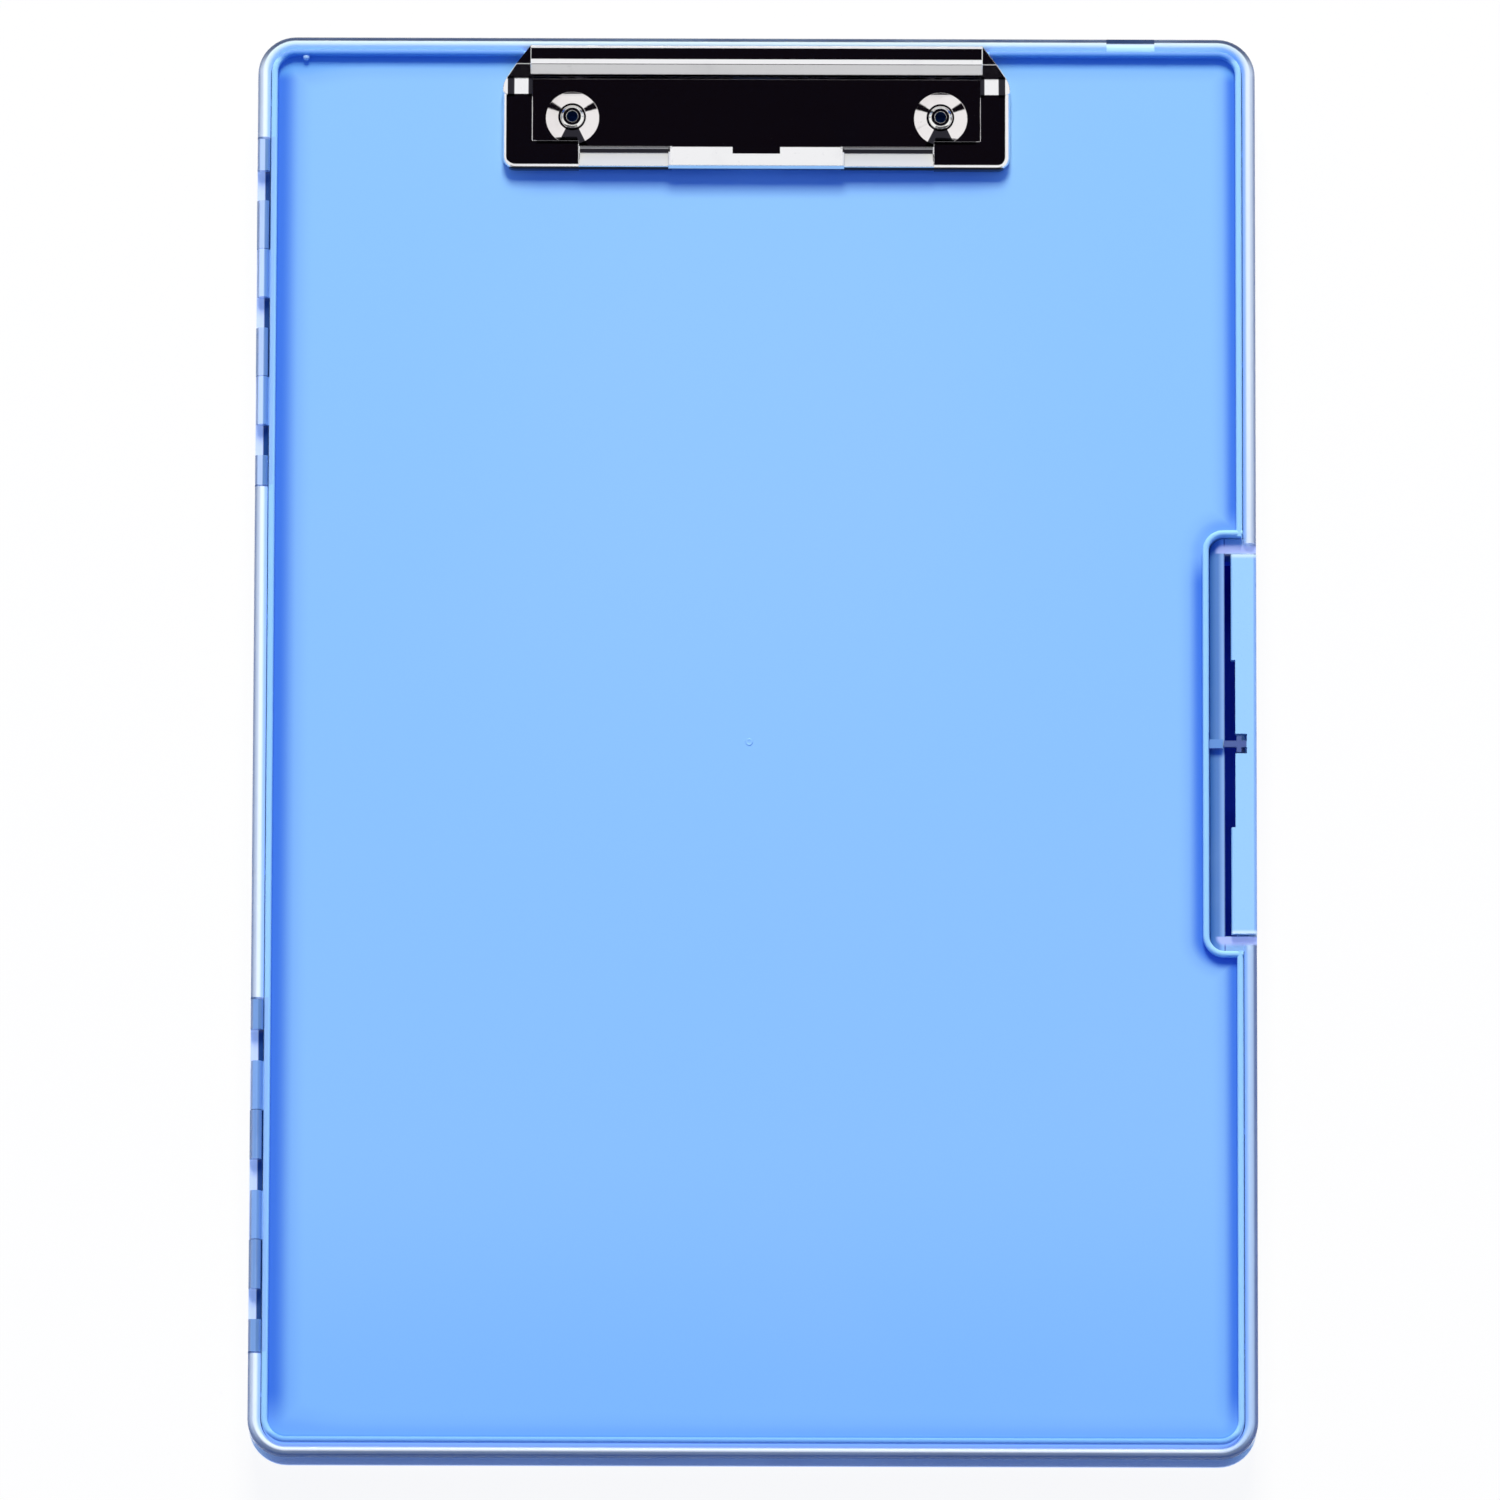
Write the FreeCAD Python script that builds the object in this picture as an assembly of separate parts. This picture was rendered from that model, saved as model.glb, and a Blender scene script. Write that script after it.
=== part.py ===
import FreeCAD, Part
import math
import os

from FreeCAD import Vector

os.makedirs("parts", exist_ok=True)

# A storage clipboard box, in millimetres. X is its width, Y its length with the clip at +Y, Z is up.
# The origin is the middle of the underside.

# Tray: a shallow tub with a rounded rim
tray_width = 236.2
tray_length = 339.3
corner_radius = 9.0
rim_height = 17.0
rim_width = 3.0
rim_depth = 4.0
wall = 1.8
floor_thickness = 1.8
foot_radius = 1.2

# Lid: the writing board that nests inside the rim
lid_gap = 0.25
panel_drop = 1.0
panel_thickness = 2.0
bead_width = 1.5
bead_height = 2.0
skirt_depth = 1.5
bead_end_gap = 1.8

# Ribs inside the tray that the lid's skirt comes down on
rib_reach = 3.5
rib_thickness = 1.4
rib_gap = 0.1
end_rib_shares = (-0.78, -0.39, 0.39, 0.78)
latch_side_rib_shares = (-0.84, -0.54, 0.54, 0.84)
hinge_side_rib_shares = (-0.91, -0.18, 0.18, 0.91)

# Notch in the rim at the clip end
notch_side_inset = 29.5
notch_width = 11.4
notch_depth = 1.2

# Hinges on the left side, the same both ways from the middle of the board, with their outer ends at an inset
knuckle_radius = 1.3
pip_radius = 0.6
pip_length = 5.5
running_clearance = 0.05
pip_end_clearance = 0.6
knuckle_gap = 0.15
turning_gap = 0.3
hinge_end_inset = 24.6
inner_block = 7.3
window = 7.5
lid_knuckle = 11.5
tray_knuckle = 11.7
outer_window = 7.3
outer_block = 7.8
block_drop = 0.35
block_groove = 0.5
hinge_web = 1.3

# Pocket in the lid's right edge, and the tray's low ledge that follows it
pocket_reach = 11.2
pocket_half_length = 49.5
pocket_radius = 3.5
ledge_drop = 1.8
ledge_width = 3.5
ledge_thickness = 1.6
rim_end_half_length = 48.0

# Latch: a flap that turns about its lower edge
latch_half_length = 45.3
latch_end_gap = 0.4
latch_plate = 1.8
latch_head_width = 6.0
latch_head_depth = 2.4
latch_head_radius = 0.8
latch_barrel_radius = 2.2
latch_foot_gap = 1.1
latch_pip_radius = 1.0
latch_pip_length = 1.3
latch_pip_end_clearance = 0.2
finger_cut_half_length = 20.0
finger_cut_depth = 1.0

# Catch: a tongue on the lid, and a finger that reaches for it from a notch in the latch's head
tongue_reach = 3.0
tongue_half_width = 1.05
tongue_rise = 0.2
tongue_thickness = 1.2
catch_gap = 0.2
catch_notch_half_width = 2.35
catch_notch_depth = 3.7
finger_half_width = 0.75
cross_half_width = 1.9
cross_thickness = 1.1
cross_inset = 1.3

# Clip: a chromed sheet-steel jaw on a riveted base plate
clip_length = 120.0
clip_depth = 29.3
clip_back = 3.0
sheet = 0.8
arm_width = 7.0
arm_bend = 1.2
ridge_width = 106.8
ridge_height = 6.0
ridge_flat = 3.9
ridge_slope_run = 2.7
ridge_slope_drop = 2.45
ridge_skirt_gap = 2.4
ridge_rear_bend = 0.9
ridge_front_bend = 2.2
pivot_inset = 2.7
pivot_height = 2.9
arm_height = 3.4
arm_rear_height = 5.6
arm_shoulder_height = 5.0
saddle_height = 2.4
arm_flat_end = 11.4
saddle_inset = 7.4
shoulder_inset = 4.4
chamfer_length = 8.3
front_corner_radius = 3.0
rear_corner_radius = 5.0
flange_gap = 0.4
flange_step_inset = 7.0
corner_plate_reach = 18.0
corner_plate_depth = 6.7
bar_depth = 5.6
groove_inset = 4.2
groove_height = 1.0
bar_inner_height = 2.3
lip_inset = 0.6
lip_height = 3.5
lip_drop = 1.2
tab_half_length = 20.0
tab_rise = 0.8
dimple_half_length = 5.6
dimple_depth = 1.8

# Clip base plate
plate_half_length = 56.0
plate_front_inset = 5.2
plate_lip_half_length = 7.5
plate_lip_reach = 1.7
plate_rear_inset = 3.4
ear_gap = 0.7
ear_radius = 1.6
ear_foot_front = 2.9
rod_radius = 0.7
rod_end_inset = 0.2
cheek_gap = 0.7
cheek_radius = 1.75

# Springs on the rod inside the ridge
spring_wire = 0.6
spring_turns = 9
spring_pitch = 0.9
spring_middle = 20.0
spring_rod_clearance = 0.1

# Rivets
rivet_reach = 43.6
rivet_inset = 16.6
cone_radius = 6.3
cone_height = 1.3
cone_top_radius = 3.3
rivet_head_radius = 2.8
rivet_crown_radius = 2.2
rivet_head_height = 0.6
rivet_bore_radius = 1.35
rivet_shank_radius = 2.1
rivet_hole_clearance = 0.05
rivet_foot_radius = 3.0
rivet_foot_height = 0.6
washer_radius = 5.5
washer_thickness = 0.8

# One overrun for every cut that passes through a face
overrun = 2.0

# Levels and places that follow from the sizes above
origin = Vector(0, 0, 0)
along_x = Vector(1, 0, 0)
along_y = Vector(0, 1, 0)
up = Vector(0, 0, 1)
half_width = tray_width / 2
half_length = tray_length / 2
rim_radius = rim_width / 2
hinge_x = -half_width + rim_radius
hinge_z = rim_height - rim_radius
panel_top = rim_height - panel_drop
panel_bottom = panel_top - panel_thickness
skirt_bottom = panel_bottom - skirt_depth
bead_top = panel_top + bead_height
lid_half_width = half_width - rim_width - lid_gap
lid_half_length = half_length - rim_width - lid_gap
lid_radius = corner_radius - rim_width - lid_gap
rib_top = skirt_bottom - rib_gap
pocket_x = half_width - pocket_reach
ledge_x = pocket_x + lid_gap
ledge_top = rim_height - ledge_drop
recess_x = ledge_x + ledge_width
recess_half_length = latch_half_length + latch_end_gap
latch_face_x = half_width
latch_x = latch_face_x - latch_barrel_radius
latch_z = latch_foot_gap + latch_barrel_radius
latch_head_x = latch_face_x - latch_head_width
tongue_end_x = ledge_x + tongue_reach
tongue_bottom = ledge_top + tongue_rise
tongue_top = tongue_bottom + tongue_thickness
clip_back_y = half_length - clip_back
clip_front_y = clip_back_y - clip_depth
clip_half_length = clip_length / 2
ridge_half_length = ridge_width / 2
window_half_length = clip_half_length - arm_width
ridge_top = panel_top + ridge_height
pivot_y = clip_back_y - pivot_inset
pivot_z = panel_top + pivot_height
plate_top = panel_top + sheet
rivet_y = clip_back_y - rivet_inset


def box(x0, x1, y0, y1, z0, z1):
    return Part.makeBox(x1 - x0, y1 - y0, z1 - z0, Vector(x0, y0, z0))


def is_upright(edge):
    return abs(edge.tangentAt(edge.FirstParameter).z) > 0.9


def upright_edges(shape):
    return [edge for edge in shape.Edges if is_upright(edge)]


def rounded_block(x0, x1, y0, y1, radius, z0, z1):
    block = box(x0, x1, y0, y1, z0, z1)
    return block.makeFillet(radius, upright_edges(block))


def rod_along_x(x0, x1, y, z, radius):
    return Part.makeCylinder(radius, x1 - x0, Vector(x0, y, z), along_x)


def rod_along_y(x, y0, y1, z, radius):
    return Part.makeCylinder(radius, y1 - y0, Vector(x, y0, z), along_y)


def rod_upright(x, y, z0, z1, radius):
    return Part.makeCylinder(radius, z1 - z0, Vector(x, y, z0), up)


def prism_along_x(points, x0, x1):
    """A solid from (y, z) points."""
    corners = [Vector(x0, y, z) for y, z in points]
    face = Part.Face(Part.makePolygon(corners + corners[:1]))
    return face.extrude(Vector(x1 - x0, 0, 0))


def prism_along_y(points, y0, y1):
    """A solid from (x, z) points."""
    corners = [Vector(x, y0, z) for x, z in points]
    face = Part.Face(Part.makePolygon(corners + corners[:1]))
    return face.extrude(Vector(0, y1 - y0, 0))


def prism_upright(points, z0, z1):
    """A solid from (x, y) points."""
    corners = [Vector(x, y, z0) for x, y in points]
    face = Part.Face(Part.makePolygon(corners + corners[:1]))
    return face.extrude(Vector(0, 0, z1 - z0))


def mirrored(shape, direction):
    return shape.mirror(origin, direction)


def both_ways(shape, direction):
    return [shape, mirrored(shape, direction)]


def joined(shapes):
    return shapes[0].fuse(shapes[1:]).removeSplitter()


def domed_section(width, low, top):
    """A section of an upright wall with a half-round top, as edges in distance inwards and height."""
    shoulder = top - width / 2
    inner_low = Vector(width, 0, low)
    outer_low = Vector(0, 0, low)
    outer_high = Vector(0, 0, shoulder)
    inner_high = Vector(width, 0, shoulder)
    crown = Vector(width / 2, 0, top)
    return [
        Part.LineSegment(outer_low, outer_high).toShape(),
        Part.Arc(outer_high, crown, inner_high).toShape(),
        Part.LineSegment(inner_high, inner_low).toShape(),
        Part.LineSegment(inner_low, outer_low).toShape(),
    ]


def tray_section():
    """The tray's wall: a rounded foot, a plain wall and a thicker rim with a half-round top."""
    rim_start = rim_height - rim_depth
    step_start = rim_start - (rim_width - wall)
    foot_bend = foot_radius * (1 - math.sin(math.pi / 4))
    foot_outer = Vector(0, 0, foot_radius)
    outer_high = Vector(0, 0, hinge_z)
    inner_high = Vector(rim_width, 0, hinge_z)
    rim_low = Vector(rim_width, 0, rim_start)
    step = Vector(wall, 0, step_start)
    inner_low = Vector(wall, 0, 0)
    foot_inner = Vector(foot_radius, 0, 0)
    return [
        Part.LineSegment(foot_outer, outer_high).toShape(),
        Part.Arc(outer_high, Vector(rim_radius, 0, rim_height), inner_high).toShape(),
        Part.LineSegment(inner_high, rim_low).toShape(),
        Part.LineSegment(rim_low, step).toShape(),
        Part.LineSegment(step, inner_low).toShape(),
        Part.LineSegment(inner_low, foot_inner).toShape(),
        Part.Arc(foot_inner, Vector(foot_bend, 0, foot_bend), foot_outer).toShape(),
    ]


def ring(section, ring_half_width, ring_half_length, radius):
    """The section carried round a rounded rectangle, with its outer side on the rectangle."""
    face = Part.Face(Part.Wire(section))
    face = face.mirror(origin, along_x)
    face.translate(Vector(ring_half_width, 0, 0))
    straight_y = ring_half_length - radius
    straight_x = ring_half_width - radius
    side = face.extrude(Vector(0, straight_y, 0))
    turn_face = face.copy()
    turn_face.translate(Vector(0, straight_y, 0))
    centre = Vector(straight_x, straight_y, 0)
    corner = turn_face.revolve(centre, up, 90)
    end_face = turn_face.copy()
    end_face.rotate(centre, up, 90)
    end = end_face.extrude(Vector(-straight_x, 0, 0))
    quarter = side.fuse([corner, end])
    half = joined(both_ways(quarter, along_x))
    return joined(both_ways(half, along_y))


def hinge_stations():
    """Distances along the hinge from the middle of the board, by the name of what ends there."""
    hinge_length = inner_block + 2 * (window + lid_knuckle + tray_knuckle) + outer_window + outer_block
    at = half_length - hinge_end_inset - hinge_length
    stations = {"start": at}
    at += inner_block
    stations["inner_block"] = at
    pairs = []
    for _ in range(2):
        at += window
        pairs.append((at, at + lid_knuckle, at + lid_knuckle + tray_knuckle))
        at += lid_knuckle + tray_knuckle
    stations["pairs"] = pairs
    at += outer_window
    stations["outer_window"] = at
    stations["end"] = at + outer_block
    return stations


def hinge_room():
    """The stretch of rim that the hinge at +Y replaces."""
    stations = hinge_stations()
    room_x = hinge_x + rim_radius + lid_gap + overrun
    low = hinge_z - knuckle_radius - turning_gap
    return box(-half_width - overrun, room_x, stations["inner_block"], stations["outer_window"],
               low, rim_height + overrun)


def hinge_blocks_cut():
    """Grooves at the hinge's two ends, and the small step down of its end blocks."""
    stations = hinge_stations()
    outer_x = -half_width - overrun
    inner_x = hinge_x + rim_radius + lid_gap / 2
    block_top = rim_height - block_drop
    cuts = []
    for y0, y1 in ((stations["start"], stations["inner_block"]), (stations["outer_window"], stations["end"])):
        cuts.append(box(outer_x, inner_x, y0, y1, block_top, rim_height + overrun))
    for y in (stations["start"], stations["end"]):
        cuts.append(box(outer_x, inner_x, y - block_groove / 2, y + block_groove / 2,
                        hinge_z, rim_height + overrun))
    return cuts


def tray_knuckles():
    """The tray's knuckles of the hinge at +Y, each with a blind bore for the lid's pip."""
    shapes = []
    bores = []
    for _, joint_y, end_y in hinge_stations()["pairs"]:
        start_y = joint_y + knuckle_gap
        shapes.append(rod_along_y(hinge_x, start_y, end_y, hinge_z, knuckle_radius))
        shapes.append(box(-half_width, -half_width + wall, start_y, end_y, hinge_z - rim_depth, hinge_z))
        bore_end = start_y + pip_length + pip_end_clearance
        bores.append(rod_along_y(hinge_x, start_y - overrun, bore_end, hinge_z,
                                 pip_radius + running_clearance))
    return shapes, bores


def lid_knuckles():
    """The lid's knuckles of the hinge at +Y, with their webs and moulded pips."""
    shapes = []
    for start_y, joint_y, _ in hinge_stations()["pairs"]:
        shapes.append(rod_along_y(hinge_x, start_y, joint_y, hinge_z, knuckle_radius))
        web_low = hinge_z - knuckle_radius
        shapes.append(box(hinge_x, -lid_half_width + bead_width, start_y, joint_y,
                          web_low, web_low + hinge_web))
        pip_end = joint_y + knuckle_gap + pip_length
        shapes.append(rod_along_y(hinge_x, joint_y - overrun, pip_end, hinge_z, pip_radius))
    return shapes


def tray_ribs():
    """Short upright ribs on the tray's walls, just under the lid's skirt."""
    half = rib_thickness / 2
    reach = wall + rib_reach
    ribs = []
    for share in end_rib_shares:
        x = share * half_width
        rib = box(x - half, x + half, half_length - reach, half_length - wall, 0, rib_top)
        ribs += both_ways(rib, along_y)
    for share in latch_side_rib_shares:
        y = share * half_length
        ribs.append(box(half_width - reach, half_width - wall, y - half, y + half, 0, rib_top))
    for share in hinge_side_rib_shares:
        y = share * half_length
        ribs.append(box(-half_width + wall, -half_width + reach, y - half, y + half, 0, rib_top))
    return ribs


def latch_housing():
    """The tray's wall round the latch, with the low ledge on it that follows the lid's pocket."""
    ledge_half = pocket_half_length - lid_gap
    ledge_radius = pocket_radius - lid_gap
    far_x = half_width + corner_radius
    ledge = rounded_block(ledge_x, far_x, -ledge_half, ledge_half, ledge_radius,
                          ledge_top - ledge_thickness, ledge_top)
    housing_half = recess_half_length + wall
    housing = box(recess_x - wall, half_width, -housing_half, housing_half, 0, ledge_top)
    trim = box(ledge_x, half_width, -half_length, half_length, 0, rim_height)
    return [ledge.common(trim), housing]


def latch_room():
    """What the latch takes out of the tray: its recess, the lower rim at its ends and its pip holes."""
    far_x = half_width + overrun
    recess = box(recess_x, far_x, -recess_half_length, recess_half_length, -overrun, rim_height + overrun)
    rim_ends = box(half_width - rim_width - lid_gap, far_x, -rim_end_half_length, rim_end_half_length,
                   ledge_top, rim_height + overrun)
    hole_end = recess_half_length + latch_pip_length + latch_pip_end_clearance - latch_end_gap
    holes = rod_along_y(latch_x, -hole_end, hole_end, latch_z, latch_pip_radius + running_clearance)
    return [recess, rim_ends, holes]


def make_base_tray():
    tray = ring(tray_section(), half_width, half_length, corner_radius)
    floor_radius = corner_radius - foot_radius
    floor = rounded_block(-half_width + foot_radius, half_width - foot_radius,
                          -half_length + foot_radius, half_length - foot_radius,
                          floor_radius, 0, floor_thickness)
    knuckles, bores = tray_knuckles()
    tray = tray.fuse([floor] + tray_ribs() + latch_housing())
    cuts = []
    for room in [hinge_room()] + hinge_blocks_cut():
        cuts += both_ways(room, along_y)
    cuts += latch_room()
    notch_half = notch_width / 2
    notch_middle = half_width - notch_side_inset
    cuts.append(box(notch_middle - notch_half, notch_middle + notch_half,
                    half_length - rim_width - lid_gap, half_length + overrun,
                    rim_height - notch_depth, rim_height + overrun))
    tray = tray.cut(cuts)
    added = []
    for knuckle in knuckles:
        added += both_ways(knuckle, along_y)
    removed = []
    for bore in bores:
        removed += both_ways(bore, along_y)
    return tray.fuse(added).cut(removed).removeSplitter()


def pocket_bead():
    """The bead and skirt that turn inwards round the latch pocket."""
    outer_half = pocket_half_length + bead_width
    outer_radius = pocket_radius + bead_width
    bead = ring(domed_section(bead_width, skirt_bottom, bead_top), outer_half, outer_half, outer_radius)
    bead.translate(Vector(pocket_x - bead_width + outer_half, 0, 0))
    trim = box(pocket_x - bead_width - overrun, lid_half_width, -outer_half, outer_half,
               skirt_bottom, bead_top)
    return bead.common(trim)


def catch_tongue():
    """The lid's tongue across the tray's ledge."""
    return box(pocket_x - bead_width / 2, tongue_end_x, -tongue_half_width, tongue_half_width,
               tongue_bottom, tongue_top)


def make_lid_panel():
    panel = rounded_block(-lid_half_width, lid_half_width, -lid_half_length, lid_half_length,
                          lid_radius, panel_bottom, panel_top)
    section = domed_section(bead_width, skirt_bottom, bead_top)
    bead = ring(section, lid_half_width, lid_half_length, lid_radius)
    pocket =rounded_block(pocket_x, half_width + corner_radius, -pocket_half_length, pocket_half_length,
                           pocket_radius, skirt_bottom - overrun, bead_top + overrun)
    behind_clip = box(-ridge_half_length - bead_end_gap, ridge_half_length + bead_end_gap,
                      lid_half_length - bead_width - lid_gap, half_length, panel_top, bead_top + overrun)
    lid = panel.fuse(bead).cut([pocket, behind_clip])
    added = [pocket_bead(), catch_tongue()]
    for knuckle in lid_knuckles():
        added += both_ways(knuckle, along_y)
    lid = lid.fuse(added)
    hole = rod_upright(rivet_reach, rivet_y, panel_bottom - overrun, panel_top + overrun,
                       rivet_shank_radius + rivet_hole_clearance)
    return lid.cut(both_ways(hole, along_x)).removeSplitter()


def make_side_latch():
    half = latch_half_length
    plate = box(latch_face_x - latch_plate, latch_face_x, -half, half, latch_z, rim_height)
    barrel = rod_along_y(latch_x, -half, half, latch_z, latch_barrel_radius)
    head = box(latch_head_x, latch_face_x, -half, half, rim_height - latch_head_depth, rim_height)
    bar = joined([plate, head])
    long_top = [edge for edge in bar.Edges
                if abs(edge.tangentAt(edge.FirstParameter).y) > 0.5 and edge.CenterOfMass.z > panel_top]
    bar = bar.makeFillet(latch_head_radius, long_top)
    pip_end = half + latch_pip_length
    pips = rod_along_y(latch_x, -pip_end, pip_end, latch_z, latch_pip_radius)
    latch = joined([bar, barrel, pips])
    finger_cut = box(latch_head_x - overrun, latch_head_x + finger_cut_depth,
                     -finger_cut_half_length, finger_cut_half_length, panel_bottom, rim_height + overrun)
    notch_back = latch_head_x + catch_notch_depth
    notch = box(latch_head_x - overrun, notch_back,
                -catch_notch_half_width, catch_notch_half_width, panel_bottom, rim_height + overrun)
    cross_x = latch_head_x + cross_inset
    finger = box(tongue_end_x + catch_gap, notch_back + latch_head_radius, -finger_half_width,
                 finger_half_width, tongue_bottom, tongue_top)
    cross = box(cross_x, cross_x + cross_thickness, -cross_half_width, cross_half_width,
                tongue_bottom, tongue_top)
    return latch.cut([finger_cut, notch]).fuse([finger, cross]).removeSplitter()


def bent_strip(points, bends, x0, x1):
    """Sheet metal bent along (y, z) points on its outer face, with a bend radius for each inner point."""
    corners = [Vector(x0, y, z) for y, z in points]
    edges = []
    start = corners[0]
    for before, corner, after, bend in zip(corners, corners[1:], corners[2:], bends):
        back = (before - corner).normalize()
        ahead = (after - corner).normalize()
        half_angle = back.getAngle(ahead) / 2
        first = corner + back * (bend / math.tan(half_angle))
        last = corner + ahead * (bend / math.tan(half_angle))
        towards_centre = (back + ahead).normalize()
        middle = corner + towards_centre * (bend / math.sin(half_angle) - bend)
        edges.append(Part.LineSegment(start, first).toShape())
        edges.append(Part.Arc(first, middle, last).toShape())
        start = last
    edges.append(Part.LineSegment(start, corners[-1]).toShape())
    face = Part.Wire(edges).makeOffset2D(-sheet, 0, True, True, False)
    return face.extrude(Vector(x1 - x0, 0, 0))


def jaw_ridge():
    """The ridge along the jaw's back: a channel that hides the rod and the springs."""
    slope_top = clip_back_y - ridge_flat
    points = [
        (clip_back_y, panel_top + ridge_skirt_gap),
        (clip_back_y, ridge_top),
        (slope_top, ridge_top),
        (slope_top - ridge_slope_run, ridge_top - ridge_slope_drop),
    ]
    return bent_strip(points, (ridge_rear_bend, ridge_front_bend), -ridge_half_length, ridge_half_length)


def jaw_outline(inset):
    """The clip's outline in plan, chamfered at the back and rounded at the front."""
    half = clip_half_length - inset
    front = clip_front_y + inset
    back = clip_back_y - inset
    chamfer_start = clip_back_y - chamfer_length
    points = [(-half, front), (half, front), (half, chamfer_start), (ridge_half_length - inset, back),
              (inset - ridge_half_length, back), (-half, chamfer_start)]
    block = prism_upright(points, panel_top - overrun, ridge_top)
    front_corners = [edge for edge in upright_edges(block) if edge.CenterOfMass.y < chamfer_start - inset]
    block = block.makeFillet(front_corner_radius - inset, front_corners)
    rear_corners = [edge for edge in upright_edges(block)
                    if abs(edge.CenterOfMass.y - chamfer_start) < sheet
                    and abs(edge.CenterOfMass.x) > ridge_half_length + sheet]
    return block.makeFillet(rear_corner_radius - inset, rear_corners)


def arm_top():
    """The upper face of an arm from front to back, as (y, z): flat, a shallow saddle, then a shoulder."""
    return [
        (clip_front_y, panel_top + arm_height),
        (clip_back_y - arm_flat_end, panel_top + arm_height),
        (clip_back_y - saddle_inset, panel_top + saddle_height),
        (clip_back_y - shoulder_inset, panel_top + arm_shoulder_height),
        (clip_back_y, panel_top + arm_rear_height),
    ]


def bar_top():
    """The upper face of the front bar: down into the groove that grips the paper, then up to the lip."""
    return [
        (clip_front_y, panel_top + lip_height - lip_drop),
        (clip_front_y + lip_inset, panel_top + lip_height),
        (clip_front_y + groove_inset, panel_top + groove_height),
        (clip_front_y + bar_depth, panel_top + bar_inner_height),
    ]


def tab_top():
    """The upper face of the finger tab, which rises straight from the window's edge to the lip."""
    return [
        (clip_front_y, panel_top + lip_height + tab_rise - lip_drop),
        (clip_front_y + lip_inset, panel_top + lip_height + tab_rise),
        (clip_front_y + bar_depth, panel_top + groove_height + tab_rise),
    ]


def block_under(top, x0, x1):
    low = panel_top - overrun
    return prism_along_x([(top[0][0], low)] + top + [(top[-1][0], low)], x0, x1)


def skin_under(top, x0, x1):
    block = block_under(top, x0, x1)
    lowered = block.copy()
    lowered.translate(Vector(0, 0, -sheet))
    return block.cut(lowered)


def step_web(high, low, x0, x1):
    """The upright web where a higher stretch of sheet steps down to a lower one."""
    floor_block = block_under(low, x0, x1)
    floor_block.translate(Vector(0, 0, -sheet))
    return block_under(high, x0, x1).cut(floor_block)


def arm_block(inset):
    """The solid under the right arm and its corner plate, drawn in by an inset, bent over round its flat."""
    start_x = clip_half_length - corner_plate_reach - inset
    block = block_under(arm_top(), start_x, clip_half_length)
    block.translate(Vector(0, 0, -inset))
    block = block.common(jaw_outline(inset))
    front = clip_front_y + inset + sheet / 2
    side = clip_half_length - inset - arm_bend
    flat_end = clip_back_y - arm_flat_end
    bends = []
    for edge in block.Edges:
        centre = edge.CenterOfMass
        on_rim = centre.y < front or centre.x > side and centre.y < flat_end
        if on_rim and centre.z > plate_top and centre.x > start_x and not is_upright(edge):
            bends.append(edge)
    return block.makeFillet(arm_bend - inset, bends)


def jaw_half():
    """The sheet of the jaw's right half, apart from the ridge."""
    bar_end = clip_half_length - corner_plate_reach
    flat_height = panel_top + arm_height
    outer = arm_block(0)
    window_cut = box(0, window_half_length, clip_front_y + corner_plate_depth, clip_back_y + overrun,
                     panel_top - overrun, ridge_top + overrun)
    step_y = clip_back_y - flange_step_inset
    low_cut = box(0, clip_length, clip_front_y - overrun, step_y, panel_top - overrun,
                  panel_top + flange_gap)
    rear_cut = box(0, clip_length, step_y, clip_back_y + overrun, panel_top - overrun,
                   panel_top + ridge_skirt_gap)
    arm = outer.cut(arm_block(sheet)).cut([window_cut, low_cut, rear_cut])
    bar_plan = [(clip_front_y, flat_height), (clip_front_y + bar_depth, flat_height)]
    return [
        arm,
        skin_under(bar_top(), tab_half_length, bar_end),
        skin_under(tab_top(), 0, tab_half_length),
        step_web(bar_plan, bar_top(), bar_end, bar_end + sheet).common(outer),
        step_web(tab_top(), bar_top(), tab_half_length, tab_half_length + sheet),
    ]


def jaw_cheek():
    """The plate across the ridge's right end that turns on the rod."""
    x1 = ridge_half_length - cheek_gap
    x0 = x1 - sheet
    disc = rod_along_x(x0, x1, pivot_y, pivot_z, cheek_radius)
    post = box(x0, x1, pivot_y - cheek_radius, clip_back_y - sheet / 2, pivot_z, ridge_top - sheet / 2)
    slope_top = clip_back_y - ridge_flat
    under_slope = prism_along_x(
        [(clip_back_y, pivot_z - cheek_radius), (clip_back_y, ridge_top - sheet / 2),
         (slope_top, ridge_top - sheet / 2),
         (slope_top - ridge_slope_run, ridge_top - ridge_slope_drop - sheet / 2),
         (slope_top - ridge_slope_run, pivot_z - cheek_radius)], x0, x1)
    return disc.fuse(post).common(under_slope)


def make_clip_jaw():
    shapes = [jaw_ridge()]
    for shape in jaw_half() + [jaw_cheek()]:
        shapes += both_ways(shape, along_x)
    jaw = shapes[0].fuse(shapes[1:])
    dimple_back = clip_front_y + bar_depth
    dimple = box(-dimple_half_length, dimple_half_length, dimple_back - dimple_depth, dimple_back + overrun,
                 panel_top, ridge_top)
    hole_radius = rod_radius + running_clearance
    rod_hole = rod_along_x(-ridge_half_length, ridge_half_length, pivot_y, pivot_z, hole_radius)
    return jaw.cut([dimple, rod_hole]).removeSplitter()


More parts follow.
